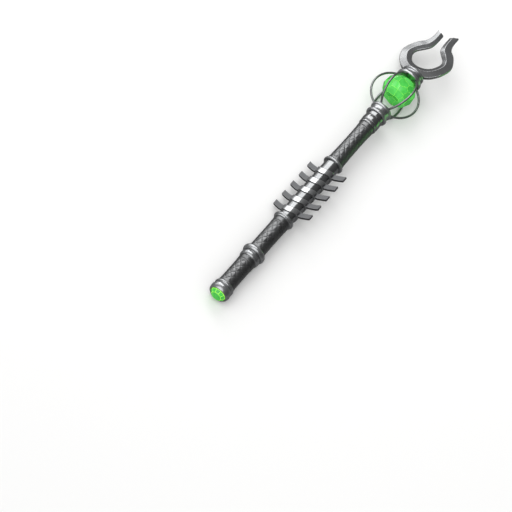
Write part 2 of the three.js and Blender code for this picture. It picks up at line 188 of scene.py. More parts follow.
class Profile:
    """Outline of a turned piece, from the axis at its foot to the axis at its head."""

    # How far the middle of a cubic goes towards its two control points
    CUBIC_REACH = 0.75
    # Largest share of a side that a fillet takes up
    FILLET_SHARE = 0.45
    # Points that are nearer than this are one point
    SAME_POINT = 1e-4

    def __init__(self, foot: float = SEAM) -> None:
        """Starts on the axis, at the height of the foot."""
        self.corners: list[Point3] = [(0.0, foot, 0.0)]

    def to(self, radius: float, height: float, fillet: float = 0.5) -> "Profile":
        """Adds a straight stretch to a corner, eased by a fillet that reaches so far along each side."""
        self.corners.append((radius, height, fillet))
        return self

    def bead(self, root: float, crown: float, foot: float, head: float) -> "Profile":
        """Adds a rounded ring from its foot to its head, with the radius of its root and of its crown."""
        pull = root + (crown - root) / self.CUBIC_REACH
        return self.curve((root, foot), (pull, foot), (pull, head), (root, head))

    def curve(self, a: Point, b: Point, c: Point, d: Point, steps: int = 14) -> "Profile":
        """Adds a cubic curve.

        Args:
            a: first point.
            b: first control point.
            c: second control point.
            d: last point.
            steps: number of chords.

        Returns:
            The profile itself.
        """
        for t in np.linspace(0, 1, steps + 1):
            weights = ((1 - t) ** 3, 3 * t * (1 - t) ** 2, 3 * t * t * (1 - t), t**3)
            radius, height = (sum(w * v for w, v in zip(weights, values)) for values in zip(a, b, c, d))
            self.corners.append((radius, height, 0.0))
        return self

    def close(self, radius: float, height: float, fillet: float = 0.5) -> "Profile":
        """Ends at the head face, on the axis, with a fillet round the rim."""
        return self.to(radius, height, fillet).to(0.0, height, 0.0)

    def _filleted(self, steps: int) -> list[Point]:
        """The outline with its fillets drawn out.

        Args:
            steps: number of chords in a fillet.

        Returns:
            Radius and height of each point.
        """
        outline: list[Point] = []
        last = len(self.corners) - 1
        for i, (radius, height, fillet) in enumerate(self.corners):
            if fillet == 0 or i in (0, last):
                outline.append((radius, height))
                continue
            here = Vector((radius, height))
            before = Vector(self.corners[i - 1][:2]) - here
            after = Vector(self.corners[i + 1][:2]) - here
            reach = min(fillet, before.length * self.FILLET_SHARE, after.length * self.FILLET_SHARE)
            start = here + before.normalized() * reach
            end = here + after.normalized() * reach
            outline += [tuple(p) for p in eased(start, here, end, np.linspace(0, 1, steps + 1))]
        return [p for i, p in enumerate(outline) if i == 0 or math.dist(p, outline[i - 1]) > self.SAME_POINT]

    def points(self, steps: int = 4, hold: float = 0.6) -> list[Point]:
        """The finished outline, with points that keep its long straight stretches flat.

        Args:
            steps: number of chords in a fillet.
            hold: distance of the points that keep a stretch flat, from its ends.

        Returns:
            Radius and height of each point.
        """
        outline = self._filleted(steps)
        held: list[Point] = outline[:1]
        for before, after in zip(outline, outline[1:]):
            gap = math.dist(before, after)
            if gap > 4 * hold and min(before[0], after[0]) > 0:
                for share in (hold / gap, 1 - hold / gap):
                    held.append(tuple(b + (a - b) * share for b, a in zip(before, after)))
            held.append(after)
        return held


class Shape:
    """A mesh under construction, in millimetres on the staff's own axes."""

    # Points within this distance of a cut lie on it
    ON_CUT = 1e-5

    def __init__(self) -> None:
        """Starts empty."""
        self.bm = bmesh.new()

    @classmethod
    def turned(cls, profile: Profile, station: float) -> "Shape":
        """Turns a profile about the axis.

        Args:
            profile: outline that starts and ends on the axis.
            station: place of the profile's zero.

        Returns:
            The closed shape.
        """
        points = profile.points()
        angles = round_angles(FINE_SIDES)
        rings = [[off_axis(radius, a, z + station) for a in angles] for radius, z in points[1:-1]]
        shape = cls()
        shape.skin(rings, (0, 0, points[0][1] + station), (0, 0, points[-1][1] + station))
        return shape

    def skin(
        self, rings: Sequence[Sequence[Point3]], first: Point3 | None = None, last: Point3 | None = None,
    ) -> None:
        """Covers a row of closed rings, with a fan or a flat face at either end.

        Args:
            rings: rings with the same number of points.
            first: point that the first ring closes on, or None for a flat face.
            last: point that the last ring closes on, or None for a flat face.
        """
        rows = [[self.bm.verts.new(p) for p in ring] for ring in rings]
        count = len(rows[0])
        for low, high in zip(rows, rows[1:]):
            for i in range(count):
                j = (i + 1) % count
                self.bm.faces.new((low[i], low[j], high[j], high[i]))
        for row, centre in ((rows[0][::-1], first), (rows[-1], last)):
            if centre is None:
                self.bm.faces.new(row)
                continue
            hub = self.bm.verts.new(centre)
            for i in range(count):
                self.bm.faces.new((row[i], row[(i + 1) % count], hub))

    def map(self, rule: Callable[[Vector], Vector]) -> "Shape":
        """Moves every point by a rule.

        Args:
            rule: takes a point and gives its new place.

        Returns:
            The shape itself.
        """
        for vertex in self.bm.verts:
            vertex.co = rule(vertex.co)
        return self

    def move(self, way: Vector) -> None:
        """Moves the whole shape."""
        bmesh.ops.translate(self.bm, vec=way, verts=self.bm.verts)

    def split(self, point: Vector, normal: Vector, **options) -> None:
        """Draws the line of a plane into every face that it crosses."""
        parts = [*self.bm.verts, *self.bm.edges, *self.bm.faces]
        bmesh.ops.bisect_plane(self.bm, geom=parts, plane_co=point, plane_no=normal, **options)

    def cut(self, point: Vector, away: Vector) -> "Shape":
        """Cuts off what lies beyond a plane and closes the cut with a flat face.

        Args:
            point: a point of the plane.
            away: direction of the side that is cut off.

        Returns:
            The shape itself.
        """
        self.split(point, away, clear_outer=True, dist=self.ON_CUT)
        rim = [e for e in self.bm.edges if e.is_boundary]
        if rim:
            bmesh.ops.edgeloop_fill(self.bm, edges=rim)
        return self

    def rest_on_floor(self) -> "Shape":
        """Cuts the small flat spot that the staff rests on."""
        inverse = TO_ROW.inverted()
        return self.cut(inverse.translation, (inverse.to_3x3() @ -UP).normalized())

    def mesh(self, name: str) -> Mesh:
        """Ends the construction.

        Args:
            name: name of the mesh.

        Returns:
            The shape as a mesh that faces outward.
        """
        bmesh.ops.recalc_face_normals(self.bm, faces=self.bm.faces)
        if self.bm.calc_volume(signed=True) < 0:
            bmesh.ops.reverse_faces(self.bm, faces=self.bm.faces)
        mesh = bpy.data.meshes.new(name)
        self.bm.to_mesh(mesh)
        self.bm.free()
        return mesh

    def piece(
        self, name: str, nodes: Sequence[str], slot: Slot, materials: Sequence[Material],
        sharp_deg: float = 38,
    ) -> Object:
        """Lays the shape into the row frame as a finished piece.

        Args:
            name: name of the new object.
            nodes: solids that it stands for.
            slot: the record's slot for its finish; not used.
            materials: its materials in order.
            sharp_deg: edges that turn by more than this stay crisp.

        Returns:
            The new object.
        """
        self.bm.transform(TO_ROW)
        mesh = self.mesh(name)
        mark_wear(mesh)
        mesh.shade_smooth()
        mesh.set_sharp_from_angle(angle=math.radians(sharp_deg))
        for material in materials:
            mesh.materials.append(material)
        obj = add_object(name, mesh)
        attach(obj, BODY)
        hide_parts(*nodes)
        LOG.info("%s: %d faces, stands for %s", name, len(mesh.polygons), ", ".join(nodes))
        return obj


def mark_wear(mesh: Mesh, full_bend: float = 0.22, tiny: float = 1e-12) -> None:
    """Stores how far each point stands out or lies sunk, for the finishes to read.

    Args:
        mesh: the mesh that gets the two masks.
        full_bend: bend at which either mask is full.
        tiny: length that keeps an edge without length from a division by nothing.
    """
    count = len(mesh.vertices)
    places, normals = np.zeros((2, count * 3))
    mesh.vertices.foreach_get("co", places)
    mesh.vertices.foreach_get("normal", normals)
    places, normals = places.reshape(-1, 3), normals.reshape(-1, 3)
    ends = np.zeros(len(mesh.edges) * 2, dtype=int)
    mesh.edges.foreach_get("vertices", ends)
    a, b = ends.reshape(-1, 2).T
    step = places[b] - places[a]
    step /= np.linalg.norm(step, axis=1)[:, None] + tiny
    bend = np.zeros(count)
    used = np.zeros(count)
    for here, way in ((a, step), (b, -step)):
        np.add.at(bend, here, np.einsum("ij,ij->i", way, normals[here]))
        np.add.at(used, here, 1)
    bend /= np.maximum(used, 1)
    for name, values in ((EDGE_MASK, -bend), (HOLLOW_MASK, bend)):
        attribute = mesh.attributes.new(name, "FLOAT", "POINT")
        attribute.data.foreach_set("value", np.clip(values / full_bend, 0, 1).astype(np.float32))


class Nodes:
    """Adds and joins the nodes of one tree."""

    def __init__(self, tree: NodeTree) -> None:
        """Takes the tree of a material, a world or a group."""
        self.tree = tree

    def feed(self, node: Node, inputs: dict) -> None:
        """Sets or links the inputs of a node.

        Args:
            node: the node.
            inputs: a value for an input, or an output socket to link to it.
        """
        for key, value in inputs.items():
            if isinstance(value, NodeSocket):
                self.tree.links.new(value, node.inputs[key])
            else:
                node.inputs[key].default_value = value

    def add(self, kind: str, inputs: dict | None = None, **settings) -> Node:
        """Adds a node.

        Args:
            kind: type of the node, without its ShaderNode prefix.
            inputs: a value for an input, or an output socket to link to it.
            settings: properties of the node.

        Returns:
            The new node.
        """
        node = self.tree.nodes.new("ShaderNode" + kind if not kind.startswith("Node") else kind)
        for key, value in settings.items():
            setattr(node, key, value)
        self.feed(node, inputs or {})
        return node

    def math(self, operation: str, *values: NodeSocket | float) -> NodeSocket:
        """Result of a calculation with values or sockets."""
        return self.add("Math", dict(enumerate(values)), operation=operation).outputs[0]

    def blend(self, share: NodeSocket, first: NodeSocket | Tone, second: NodeSocket | Tone) -> NodeSocket:
        """Mixes two colours, from all of the first to all of the second."""
        return self.add("MixRGB", {"Fac": share, "Color1": first, "Color2": second}).outputs[0]

    def remap(self, value: NodeSocket, given: Point, wanted: Point = (0, 1)) -> NodeSocket:
        """Maps the given range of a value to the wanted one, and holds what lies beyond it."""
        limits = {"From Min": given[0], "From Max": given[1], "To Min": wanted[0], "To Max": wanted[1]}
        return self.add("MapRange", {"Value": value, **limits}).outputs["Result"]

    def noise(self, place: NodeSocket, scale: float, detail: float, **more: float) -> NodeSocket:
        """Soft noise, read at the coordinates of a place."""
        inputs = {"Vector": place, "Scale": scale, "Detail": detail, **more}
        return self.add("TexNoise", inputs).outputs["Fac"]


class SharedGroup(Nodes):
    """A node group with named sockets that several materials use."""

    def __init__(self, name: str, inputs: dict, outputs: dict) -> None:
        """Makes the group with its sockets and nothing between them.

        Args:
            name: name of the group.
            inputs: socket type and first value of each input.
            outputs: socket type of each output.
        """
        super().__init__(bpy.data.node_groups.new(name, "ShaderNodeTree"))
        interface = self.tree.interface
        for label, (kind, value) in inputs.items():
            socket = interface.new_socket(name=label, in_out="INPUT", socket_type="NodeSocket" + kind)
            socket.default_value = value
        for label, kind in outputs.items():
            interface.new_socket(name=label, in_out="OUTPUT", socket_type="NodeSocket" + kind)
        self.given = self.add("NodeGroupInput").outputs
        self.place = self.add("TexCoord").outputs["Object"]

    def finished(self, **results: NodeSocket) -> NodeTree:
        """Links the results to the outputs of the same names and gives the group."""
        self.add("NodeGroupOutput", results)
        return self.tree


def worn_metal_group() -> NodeTree:
    """Shared edge and hollow tones: edges brightened by rubbing, hollows darker and duller, and a broad
    unevenness of tone and gloss.

    Returns:
        The node group.
    """
    n = SharedGroup(
        "worn_metal",
        {
            "Color": ("Color", (0.4, 0.4, 0.4, 1)),
            "Bright": ("Color", (0.8, 0.8, 0.8, 1)),
            "Dark": ("Color", (0.05, 0.05, 0.05, 1)),
            "Edge": ("Float", 0.0),
            "Hollow": ("Float", 0.0),
            "Roughness": ("Float", 0.2),
        },
        {"Color": "Color", "Roughness": "Float"},
    )
    patches = n.noise(n.place, scale=34.0, detail=5.0, Roughness=0.6)
    specks = n.noise(n.place, scale=420.0, detail=3.0)
    rubbed = n.math("MULTIPLY", n.given["Edge"], n.remap(specks, (0.3, 0.6)))
    tone = n.remap(patches, (0.25, 0.75), (0.82, 1.12))
    uneven = n.add("VectorMath", {0: n.given["Color"], "Scale": tone}, operation="SCALE").outputs[0]
    lit = n.blend(rubbed, uneven, n.given["Bright"])
    # Darker towards the dark tone where the surface lies sunk.
    shaded = n.blend(n.math("MULTIPLY", n.given["Hollow"], 0.85), lit, n.given["Dark"])
    gloss = n.remap(patches, (0.3, 0.7), (-0.05, 0.06))
    rough = n.math("ADD", n.given["Roughness"], gloss)
    dulled = n.math("MULTIPLY_ADD", n.given["Hollow"], 0.25, rough)
    return n.finished(Color=shaded, Roughness=dulled)


def tool_marks_group() -> NodeTree:
    """Shared fine marks of turning and polishing that run round the staff, with a few stray scratches.

    Returns:
        The node group.
    """
    n = SharedGroup(
        "tool_marks", {"Marks": ("Float", 1.0), "Scratches": ("Float", 0.5)}, {"Height": "Float"},
    )
    turned = n.add("Mapping", {"Vector": n.place, "Scale": (1800.0, 40.0, 40.0)}).outputs[0]
    stray = {"Vector": n.place, "Rotation": (0.3, 0.5, 0.7), "Scale": (900.0, 18.0, 60.0)}
    slanted = n.add("Mapping", stray).outputs[0]
    lines = n.remap(n.noise(slanted, scale=1.0, detail=1.0), (0.68, 0.74))
    fine = n.math("MULTIPLY", n.noise(turned, scale=1.0, detail=2.0), n.given["Marks"])
    cuts = n.math("MULTIPLY", lines, n.given["Scratches"])
    return n.finished(Height=n.math("SUBTRACT", fine, cuts))


def stone_clouds_group() -> NodeTree:
    """Shared colour of the stones: a tone for each facet, with soft clouds inside.

    Returns:
        The node group.
    """
    n = SharedGroup(
        "stone_clouds",
        {
            "Deep": ("Color", (0.02, 0.3, 0.03, 1)),
            "Light": ("Color", (0.2, 0.8, 0.1, 1)),
            "Facet": ("Float", 0.5),
            "Clouds": ("Float", 0.5),
        },
        {"Color": "Color"},
    )
    swirl = n.noise(n.place, scale=46.0, detail=4.0, Distortion=0.8)
    cloud = n.remap(swirl, (0.3, 0.7), (-0.5, 0.5))
    soft = n.math("MULTIPLY_ADD", cloud, n.given["Clouds"], n.given["Facet"])
    return n.finished(Color=n.blend(soft, n.given["Deep"], n.given["Light"]))


def new_material(name: str) -> tuple[Material, Nodes, Node]:
    """Makes a material with its plain shader.

    Args:
        name: name of the material.

    Returns:
        The material, its node maker and its shader.
    """
    material = bpy.data.materials.new(name)
    material.use_nodes = True
    return material, Nodes(material.node_tree), material.node_tree.nodes["Principled BSDF"]


@dataclass(frozen=True)
class SteelFinish:
    """One steel finish.

    Attributes:
        name: name of the material.
        color: tone of the metal.
        bright: tone of rubbed edges.
        dark: tone of hollows.
        roughness: gloss of the plain surface.
        marks: strength of the marks that run round the staff.
        scratches: strength of stray scratches.
        relief: height of the marks, in metres.
        relief_strength: how strongly the marks show.
    """

    name: str
    color: Tone
    bright: Tone
    dark: Tone
    roughness: float
    marks: float
    scratches: float
    relief: float = 0.00004
    relief_strength: float = 0.35

    def material(self, wear: NodeTree, marks: NodeTree) -> Material:
        """Builds the material.

        Args:
            wear: the shared wear group.
            marks: the shared group of tool marks.

        Returns:
            The new material.
        """
        material, n, shader = new_material(self.name)
        edge = n.add("Attribute", attribute_name=EDGE_MASK).outputs["Fac"]
        hollow = n.add("Attribute", attribute_name=HOLLOW_MASK).outputs["Fac"]
        worn = n.add("Group", {
            "Color": self.color, "Bright": self.bright, "Dark": self.dark, "Roughness": self.roughness,
            "Edge": edge, "Hollow": hollow,
        }, node_tree=wear).outputs
        cut = n.add("Group", {"Marks": self.marks, "Scratches": self.scratches}, node_tree=marks).outputs
        relief = {"Height": cut["Height"], "Strength": self.relief_strength, "Distance": self.relief}
        bump = n.add("Bump", relief).outputs["Normal"]
        n.feed(shader, {
            "Metallic": 1.0, "Base Color": worn["Color"], "Roughness": worn["Roughness"], "Normal": bump,
        })
        return material


@dataclass(frozen=True)
class StoneFinish:
    """One face finish of a cut green stone.

    Attributes:
        name: name of the material.
        deep: darker tone.
        light: lighter tone.
        painted_glow: strength of the stone's emission, painted light that makes it look lit from within.
        transmission: share of light that goes through.
        roughness: gloss of the polished faces.
        clouds: strength of the clouds inside.
        ior: how strongly the stone bends light.
    """

    name: str
    deep: Tone
    light: Tone
    painted_glow: float
    transmission: float
    roughness: float
    clouds: float
    ior: float = 1.6

    def material(self, clouds: NodeTree) -> Material:
        """Builds the material.

        Args:
            clouds: the shared group of stone colour.

        Returns:
            The new material.
        """
        material, n, shader = new_material(self.name)
        facet = n.add("Attribute", attribute_name=FACET_TONE).outputs["Fac"]
        tones = {"Deep": self.deep, "Light": self.light, "Clouds": self.clouds, "Facet": facet}
        colour = n.add("Group", tones, node_tree=clouds).outputs["Color"]
        # The stone's emission is painted light: the stone is no lamp.
        n.feed(shader, {
            "Roughness": self.roughness, "IOR": self.ior, "Transmission Weight": self.transmission,
            "Emission Strength": self.painted_glow, "Base Color": colour, "Emission Color": colour,
        })
        return material


POLISHED_STEEL = SteelFinish(
    "polished_steel", (0.44, 0.45, 0.46, 1), (0.85, 0.86, 0.87, 1), (0.03, 0.03, 0.032, 1),
    roughness=0.28, marks=1.0, scratches=0.35,
)
BRIGHT_STEEL = SteelFinish(
    "bright_steel", (0.27, 0.275, 0.28, 1), (0.8, 0.81, 0.82, 1), (0.04, 0.04, 0.042, 1),
    roughness=0.15, marks=0.8, scratches=0.3,
)
# Painted shade: the rib wings' copy of the rib steel, darker and duller than the band of the same piece.
SHADED_SATIN_STEEL = SteelFinish(
    "shaded_satin_steel", (0.125, 0.127, 0.131, 1), (0.42, 0.425, 0.43, 1), (0.03, 0.03, 0.032, 1),
    roughness=0.42, marks=0.6, scratches=0.4,
)
FORK_STEEL = SteelFinish(
    "fork_steel", (0.32, 0.325, 0.33, 1), (0.7, 0.71, 0.72, 1), (0.03, 0.03, 0.032, 1),
    roughness=0.2, marks=0.7, scratches=0.4,
)
# Painted light: the rib bands' copy of the rib steel, lighter so that the bands show brighter than the
# sleeve beneath.
LIT_BAND_STEEL = SteelFinish(
    "lit_band_steel", (0.64, 0.65, 0.66, 1), (0.92, 0.92, 0.92, 1), (0.05, 0.05, 0.052, 1),
    roughness=0.22, marks=0.8, scratches=0.3,
)
WIRE_STEEL = SteelFinish(
    "wire_steel", (0.2, 0.203, 0.208, 1), (0.5, 0.51, 0.52, 1), (0.02, 0.02, 0.022, 1),
    roughness=0.3, marks=0.5, scratches=0.3,
)
ENGRAVED_STEEL = SteelFinish(
    "engraved_steel", (0.19, 0.193, 0.196, 1), (0.38, 0.385, 0.39, 1), (0.03, 0.03, 0.032, 1),
    roughness=0.3, marks=1.0, scratches=0.5,
)
STONE_FACET = StoneFinish(
    "green_stone_facet", (0.035, 0.34, 0.04, 1), (0.1, 0.6, 0.1, 1),
    painted_glow=0.42, transmission=0.15, roughness=0.06, clouds=0.7,
)
# Painted highlight: a lighter green, with stronger emission, on the seams along the facet edges.
STONE_SEAM_HIGHLIGHT = StoneFinish(
    "green_stone_seam_highlight", (0.33, 0.88, 0.07, 1), (0.42, 0.96, 0.1, 1),
    painted_glow=0.6, transmission=0.05, roughness=0.12, clouds=0.5,
)


class Finishes:
    """All materials of the staff, built once."""

    def __init__(self) -> None:
        """Builds the shared groups and the materials."""
        wear = worn_metal_group()
        marks = tool_marks_group()
        clouds = stone_clouds_group()
        self.polished = POLISHED_STEEL.material(wear, marks)
        self.bright = BRIGHT_STEEL.material(wear, marks)
        self.shaded_satin = SHADED_SATIN_STEEL.material(wear, marks)
        self.fork = FORK_STEEL.material(wear, marks)
        self.band = LIT_BAND_STEEL.material(wear, marks)
        self.wire = WIRE_STEEL.material(wear, marks)
        self.engraved = ENGRAVED_STEEL.material(wear, marks)
        self.stone = [STONE_FACET.material(clouds), STONE_SEAM_HIGHLIGHT.material(clouds)]


@dataclass
class CutStone:
    """A faceted stone, drawn over its solid with eased seams between the facets, which are painted lighter
    as highlights along the facet edges.

    The facets step through the tones by a stride. Those that face along the axis have a tone of their own.
    """

    node: str
    seam: float
    tones: int = 7
    stride: int = 5
    end_tone: float = 0.6
    end_facing: float = 0.98
    flat_deg: float = 0.5
    sliver: float = 0.02

    def build(self, finishes: Finishes) -> None:
        """Builds and dresses the stone.

        Args:
            finishes: the staff's materials.
        """
        shape = Shape()
        bm = shape.bm
        bm.from_mesh(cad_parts[self.node].data)
        bmesh.ops.remove_doubles(bm, verts=bm.verts, dist=1e-6)
        bmesh.ops.dissolve_limit(bm, angle_limit=math.radians(self.flat_deg), verts=bm.verts, edges=bm.edges)
        # The bevelled seams take the second material, a painted highlight along the facet edges.
        bmesh.ops.bevel(
            bm, geom=list(bm.edges), offset=self.seam * MM, segments=2, profile=0.7, affect="EDGES",
            material=1, clamp_overlap=True,
        )
        bmesh.ops.dissolve_degenerate(bm, dist=self.sliver * MM, edges=bm.edges)
        bm.transform(TO_ROW.inverted())
        obj = shape.piece(self.node + "_stone", [self.node], Slot.STONE, finishes.stone, sharp_deg=12)
        tones = obj.data.attributes.new(FACET_TONE, "FLOAT", "FACE")
        for polygon in obj.data.polygons:
            on_end = abs(polygon.normal.dot(AXES.along)) > self.end_facing
            spread = ((polygon.index * self.stride) % self.tones) / (self.tones - 1)
            tones.data[polygon.index].value = self.end_tone if on_end else spread


@dataclass
class EngravedTube:
    """A shaft tube cut with a lattice of low four-sided points between crossing grooves.

    Its foot and its head are stations. A row is half a lozenge high, and the land is the plain length at the
    foot. The turned line lies so many lands from the head. A reach is half the width of a cut.
    """

    node: str
    foot: float
    head: float
    end: float
    waist: float
    waist_at: float = 0.5
    lozenges: int = 8
    row: float = 9.6
    depth: float = 0.42
    groove: float = 0.45
    groove_reach: float = 0.07
    land: float = 7
    line_at: float = 1.6
    line: float = 0.9
    line_reach: float = 1.1
    end_easing: float = 0.5
    around: int = 216
    step: float = 0.85

    @property
    def length(self) -> float:
        """Length of the tube."""
        return self.head - self.foot

    def radius(self, height: float) -> float:
        """Plain radius of the tube.

        Args:
            height: place along the tube.

        Returns:
            The radius in millimetres.
        """
        middle = self.length * self.waist_at
        share = (height - middle) / max(middle, self.length - middle)
        return self.waist + (self.end - self.waist) * share**2

    def cut(self, angle: float, height: float) -> float:
        """How far the engraving goes below the plain radius.

        Args:
            angle: place round the tube.
            height: place along the tube.

        Returns:
            The depth in millimetres.
        """
        turned_line = self.length - self.line_at * self.land
        ring = self.line * max(0.0, 1 - abs(height - turned_line) / self.line_reach)
        top = turned_line - self.land / 2
        if not self.land <= height <= top:
            return ring
        rows = round((top - self.land) / self.row)
        pitch = 2 * (top - self.land) / rows
        across = angle / (2 * math.pi) * self.lozenges
        along = (height - self.land) / pitch
        near = min(abs(v - round(v)) for v in (across + along, across - along))
        fine = max(0.0, 1 - near / self.groove_reach)
        inside = max(0.0, 1 - 2 * near)
        return self.depth * inside + self.groove * fine + ring

    def build(self, finishes: Finishes) -> None:
        """Builds the tube.

        Args:
            finishes: the staff's materials.
        """
        angles = round_angles(self.around)
        heights = np.linspace(SEAM, self.length, round(self.length / self.step))
        rings = []
        for height in heights:
            plain = self.radius(height)
            drawn_in = self.end_easing if height in (heights[0], heights[-1]) else 0.0
            radii = [plain - self.cut(a, height) - drawn_in for a in angles]
            rings.append([off_axis(radius, a, height + self.foot) for radius, a in zip(radii, angles)])
        shape = Shape()
        shape.skin(rings, (0, 0, self.foot + SEAM), (0, 0, self.head))
        shape.piece(self.node + "_engraved", [self.node], Slot.ENGRAVED, [finishes.engraved], sharp_deg=50)


TUBES = (
    EngravedTube("grip_tube", Station.GRIP, Station.DOUBLE_COLLAR, end=22.2, waist=21.5),
    EngravedTube("middle_tube", Station.MIDDLE_TUBE, Station.LOWER_RING, end=21.5, waist=21),
    EngravedTube("upper_tube", Station.UPPER_TUBE, Station.FERRULE, end=21.4, waist=19.7, waist_at=0.6),
)


@dataclass
class TurnedFitting:
    """A cap, collar, ring or ferrule turned in one piece, from the station of its foot.

    Attributes:
        bright: whether it has the brighter polish.
        rests: whether it has a flat spot that the staff rests on.
    """

    node: str
    foot: float
    profile: Profile
    bright: bool = False
    rests: bool = False

    def build(self, finishes: Finishes) -> None:
        """Builds the fitting.

        Args:
            finishes: the staff's materials.
        """
        material = finishes.bright if self.bright else finishes.polished
        shape = Shape.turned(self.profile, self.foot)
        if self.rests:
            shape.rest_on_floor()
        shape.piece(self.node + "_turned", [self.node], Slot.POLISHED, [material])


def fittings() -> list[TurnedFitting]:
    """All turned fittings, from the foot to the head.

    Returns:
        The fittings.
    """
    cap = Profile(4.4).to(20.6, 4.4, 0.3).to(20.6, 0, 0.7).to(22.6, 0)
    cap.curve((23, 0.4), (26.8, 3.8), (26.8, 15.2), (24.2, 19), 20).to(23, 20.2, 0.4).to(23.2, 21.3, 0.3)
    cap.bead(23.4, 25.3, 21.6, 28.6).close(22.2, Station.GRIP - Station.CAP)
    double = Profile().to(22.2, SEAM, 0.3).bead(22.6, 25.2, 1, 14.5).to(22.8, 15.8, 0.4)
    double.bead(23.2, 29, 17.2, 32.4).close(22, Station.MIDDLE_TUBE - Station.DOUBLE_COLLAR)
    lower = Profile().to(22.2, SEAM, 0.3).to(23.8, 1.4).to(23.8, 3.8, 0.3).bead(24, 26.2, 4.2, 10.6)
    lower.close(22, Station.SLEEVE - Station.LOWER_RING)
    sleeve = Profile().to(20, SEAM).close(20, Station.UPPER_RING - Station.SLEEVE)
    upper = Profile().to(21.8, SEAM, 0.3).bead(22.6, 25.7, 0.8, 7.4)
    upper.close(21.8, Station.UPPER_TUBE - Station.UPPER_RING)
    ferrule = Profile().to(21.4, SEAM, 0.3).bead(21.6, 22.7, 0.8, 6.6).to(21, 7.4, 0.3).to(21, 8.2, 0.3)
    ferrule.bead(22.2, 23, 9, 23.6).to(21.2, 24.4, 0.3).to(21.2, 25.2, 0.3).to(22.4, 26)
    ferrule.close(22.8, Station.LOWER_COLLAR - Station.FERRULE)
    spool = Profile().to(24, SEAM, 0.3).bead(24.8, 27.4, 0.8, 9)
    spool.curve((24.6, 9.4), (24, 13), (24.2, 16), (25, 20)).bead(25, 27.6, 20.4, 28)
    spool.close(26, Station.CAGE - Station.LOWER_COLLAR)
    crown = Profile().to(29.6, SEAM, 0.2).bead(30, 32.4, 0.6, 9.4)
    crown.curve((29.6, 9.6), (25, 12), (24.4, 15.5), (25.8, 19)).bead(26, 28.4, 19.4, 25.2)
    crown.close(25.6, Station.FORK - Station.UPPER_COLLAR)
    return [
        TurnedFitting("pommel_cap", Station.CAP, cap, rests=True),
        TurnedFitting("double_collar", Station.DOUBLE_COLLAR, double),
        TurnedFitting("lower_ring", Station.LOWER_RING, lower),
        TurnedFitting("rib_sleeve", Station.SLEEVE, sleeve, bright=True),
        TurnedFitting("upper_ring", Station.UPPER_RING, upper),
        TurnedFitting("neck_ferrule", Station.FERRULE, ferrule, bright=True),
        TurnedFitting("lower_cage_collar", Station.LOWER_COLLAR, spool),
        TurnedFitting("upper_cage_collar", Station.UPPER_COLLAR, crown),
    ]


